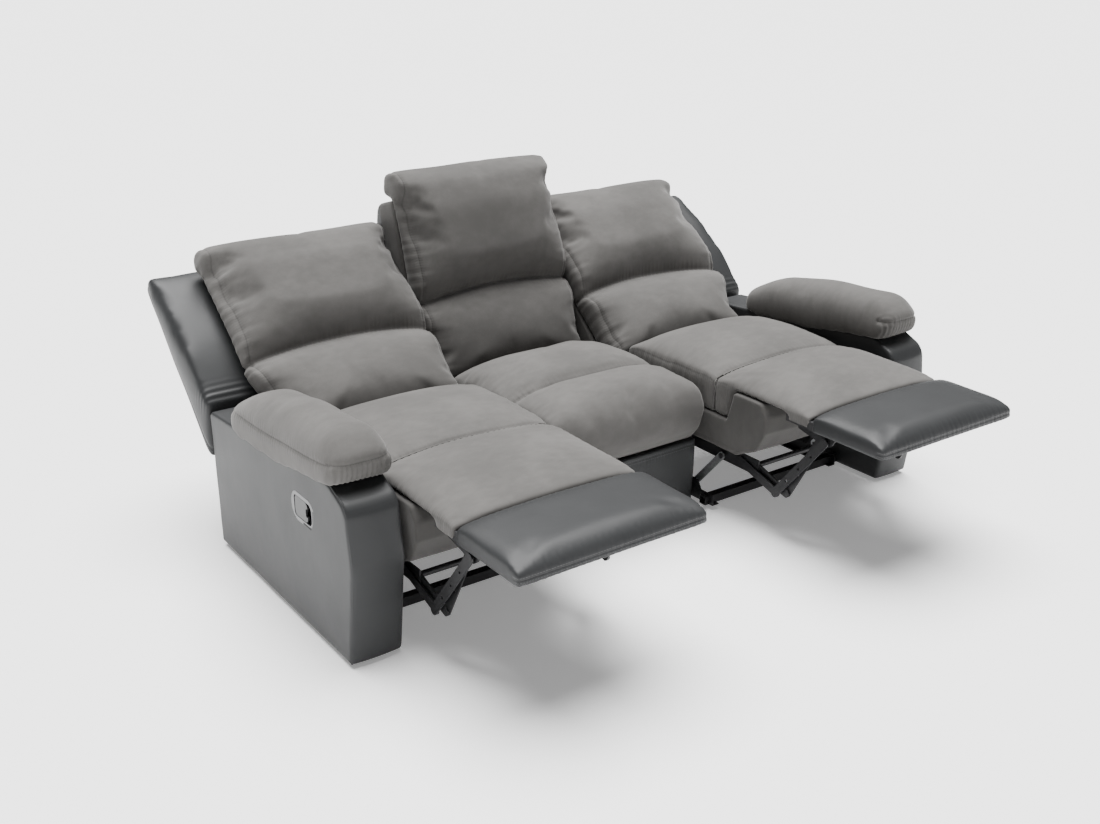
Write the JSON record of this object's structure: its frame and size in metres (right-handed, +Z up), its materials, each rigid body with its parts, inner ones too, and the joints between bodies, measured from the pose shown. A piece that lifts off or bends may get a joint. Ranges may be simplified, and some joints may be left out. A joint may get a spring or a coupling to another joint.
{
  "type": "reclining sofa",
  "caption": "Wide reclining sofa with a fixed upright middle seat and reclined outer seats, footrests out on folding link frames, padded arms and release handles.",
  "frame": {"origin": "on the floor, below the middle of the bounding box", "axes": "+X along the sofa, +Y from the front to the rear, +Z up"},
  "size_m": [1.936, 1.6112, 0.9197],
  "materials": {
    "fabric": "soft brushed microfibre, warm mid grey",
    "leather": "smooth dark slate-grey synthetic leather",
    "timber": "raw plywood and softwood",
    "black_steel": "black powder-coated steel",
    "zinc_steel": "zinc-plated steel",
    "handle_plastic": "satin dark moulded plastic",
    "glide_plastic": "black plastic"
  },
  "bodies": {
    "root": {"floor_glides": "glide_plastic", "middle_base_cover": "leather", "middle_base_frame": "timber", "middle_seat_cushion": "fabric", "middle_back_cover": "leather", "middle_back_frame": "timber", "middle_lumbar_pillow": "fabric", "middle_head_pillow": "fabric", "left_arm_cover": "leather", "left_arm_pad": "fabric", "left_handle_cup": "handle_plastic", "left_base_rails": "black_steel", "right_arm_cover": "leather", "right_arm_pad": "fabric", "right_handle_cup": "handle_plastic", "right_base_rails": "black_steel"},
    "left_rear_links": {"left_rear_swing_links": "black_steel"},
    "left_front_links": {"left_front_swing_links": "zinc_steel"},
    "left_seat": {"left_seat_rails": "black_steel", "left_seat_cover": "fabric", "left_seat_frame": "timber", "left_seat_cushion": "fabric", "left_footrest_nose": "black_steel"},
    "left_back": {"left_back_cover": "leather", "left_back_frame": "timber", "left_back_wing": "leather", "left_back_brackets": "black_steel", "left_lumbar_pillow": "fabric", "left_head_pillow": "fabric"},
    "left_footrest": {"left_footrest_brackets": "black_steel", "left_footrest_board": "timber", "left_footrest_fabric_pad": "fabric", "left_footrest_leather_pad": "leather"},
    "left_near_seat_links": {"left_near_seat_links": "black_steel"},
    "left_near_board_links": {"left_near_board_links": "black_steel"},
    "left_far_seat_links": {"left_far_seat_links": "black_steel"},
    "left_far_board_links": {"left_far_board_links": "black_steel"},
    "left_handle": {"left_handle_lever": "handle_plastic"},
    "right_rear_links": {"right_rear_swing_links": "black_steel"},
    "right_front_links": {"right_front_swing_links": "zinc_steel"},
    "right_seat": {"right_seat_rails": "black_steel", "right_seat_cover": "fabric", "right_seat_frame": "timber", "right_seat_cushion": "fabric", "right_footrest_nose": "black_steel"},
    "right_back": {"right_back_cover": "leather", "right_back_frame": "timber", "right_back_wing": "leather", "right_back_brackets": "black_steel", "right_lumbar_pillow": "fabric", "right_head_pillow": "fabric"},
    "right_footrest": {"right_footrest_brackets": "black_steel", "right_footrest_board": "timber", "right_footrest_fabric_pad": "fabric", "right_footrest_leather_pad": "leather"},
    "right_near_seat_links": {"right_near_seat_links": "black_steel"},
    "right_near_board_links": {"right_near_board_links": "black_steel"},
    "right_far_seat_links": {"right_far_seat_links": "black_steel"},
    "right_far_board_links": {"right_far_board_links": "black_steel"},
    "right_handle": {"right_handle_lever": "handle_plastic"}
  },
  "joints": [
    {"name": "left_recline", "type": "hinge", "parent": "root", "child": "left_rear_links", "pos_m": [0, 0.17608, 0.06], "axis": [1, 0, 0], "range_deg": [-82.37, 0]},
    {"name": "left_front_swing", "type": "hinge", "parent": "root", "child": "left_front_links", "pos_m": [0, -0.12392, 0.06], "axis": [1, 0, 0], "range_deg": [-82.38, 0]},
    {"name": "left_seat_carry", "type": "hinge", "parent": "left_rear_links", "child": "left_seat", "pos_m": [0, 0.07108, 0.18], "axis": [1, 0, 0], "range_deg": [0, 82.38]},
    {"name": "left_back_recline", "type": "hinge", "parent": "left_seat", "child": "left_back", "pos_m": [0, 0.25108, 0.25], "axis": [1, 0, 0], "range_deg": [0, 29.01]},
    {"name": "left_footrest_fold", "type": "hinge", "parent": "left_seat", "child": "left_footrest", "pos_m": [0, -0.45892, 0.389], "axis": [1, 0, 0], "range_deg": [0, 90]},
    {"name": "left_near_seat_turn", "type": "hinge", "parent": "left_seat", "child": "left_near_seat_links", "pos_m": [0, -0.34892, 0.188], "axis": [1, 0, 0], "range_deg": [0, 90.01]},
    {"name": "left_near_board_turn", "type": "hinge", "parent": "left_footrest", "child": "left_near_board_links", "pos_m": [0, -0.57692, 0.35], "axis": [1, 0, 0], "range_deg": [-90.01, 0]},
    {"name": "left_far_seat_turn", "type": "hinge", "parent": "left_seat", "child": "left_far_seat_links", "pos_m": [0, -0.29892, 0.188], "axis": [1, 0, 0], "range_deg": [0, 90.01]},
    {"name": "left_far_board_turn", "type": "hinge", "parent": "left_footrest", "child": "left_far_board_links", "pos_m": [0, -0.59892, 0.344], "axis": [1, 0, 0], "range_deg": [-90.01, 0]},
    {"name": "left_handle_pull", "type": "hinge", "parent": "root", "child": "left_handle", "pos_m": [-0.946, -0.11492, 0.3285], "axis": [0, 0, -1], "range_deg": [0, 28], "stiffness_Nm_per_rad": 0.4, "springref_deg": -17.19},
    {"name": "right_recline", "type": "hinge", "parent": "root", "child": "right_rear_links", "pos_m": [0, 0.17608, 0.06], "axis": [1, 0, 0], "range_deg": [-82.37, 0]},
    {"name": "right_front_swing", "type": "hinge", "parent": "root", "child": "right_front_links", "pos_m": [0, -0.12392, 0.06], "axis": [1, 0, 0], "range_deg": [-82.38, 0]},
    {"name": "right_seat_carry", "type": "hinge", "parent": "right_rear_links", "child": "right_seat", "pos_m": [0, 0.07108, 0.18], "axis": [1, 0, 0], "range_deg": [0, 82.38]},
    {"name": "right_back_recline", "type": "hinge", "parent": "right_seat", "child": "right_back", "pos_m": [0, 0.25108, 0.25], "axis": [1, 0, 0], "range_deg": [0, 29.01]},
    {"name": "right_footrest_fold", "type": "hinge", "parent": "right_seat", "child": "right_footrest", "pos_m": [0, -0.45892, 0.389], "axis": [1, 0, 0], "range_deg": [0, 90]},
    {"name": "right_near_seat_turn", "type": "hinge", "parent": "right_seat", "child": "right_near_seat_links", "pos_m": [0, -0.34892, 0.188], "axis": [1, 0, 0], "range_deg": [0, 90.01]},
    {"name": "right_near_board_turn", "type": "hinge", "parent": "right_footrest", "child": "right_near_board_links", "pos_m": [0, -0.57692, 0.35], "axis": [1, 0, 0], "range_deg": [-90.01, 0]},
    {"name": "right_far_seat_turn", "type": "hinge", "parent": "right_seat", "child": "right_far_seat_links", "pos_m": [0, -0.29892, 0.188], "axis": [1, 0, 0], "range_deg": [0, 90.01]},
    {"name": "right_far_board_turn", "type": "hinge", "parent": "right_footrest", "child": "right_far_board_links", "pos_m": [0, -0.59892, 0.344], "axis": [1, 0, 0], "range_deg": [-90.01, 0]},
    {"name": "right_handle_pull", "type": "hinge", "parent": "root", "child": "right_handle", "pos_m": [0.946, -0.11492, 0.3285], "axis": [0, 0, 1], "range_deg": [0, 28], "stiffness_Nm_per_rad": 0.4, "springref_deg": -17.19}
  ],
  "couplings": [
    {"joint": "left_front_swing", "follows": "left_recline", "ratio": 1},
    {"joint": "left_seat_carry", "follows": "left_recline", "ratio": -1},
    {"joint": "left_back_recline", "follows": "left_recline", "ratio": -0.35206},
    {"joint": "left_near_seat_turn", "follows": "left_footrest_fold", "ratio": 1},
    {"joint": "left_near_board_turn", "follows": "left_footrest_fold", "ratio": -1},
    {"joint": "left_far_seat_turn", "follows": "left_footrest_fold", "ratio": 1},
    {"joint": "left_far_board_turn", "follows": "left_footrest_fold", "ratio": -1},
    {"joint": "right_front_swing", "follows": "right_recline", "ratio": 1},
    {"joint": "right_seat_carry", "follows": "right_recline", "ratio": -1},
    {"joint": "right_back_recline", "follows": "right_recline", "ratio": -0.35206},
    {"joint": "right_near_seat_turn", "follows": "right_footrest_fold", "ratio": 1},
    {"joint": "right_near_board_turn", "follows": "right_footrest_fold", "ratio": -1},
    {"joint": "right_far_seat_turn", "follows": "right_footrest_fold", "ratio": 1},
    {"joint": "right_far_board_turn", "follows": "right_footrest_fold", "ratio": -1}
  ]
}
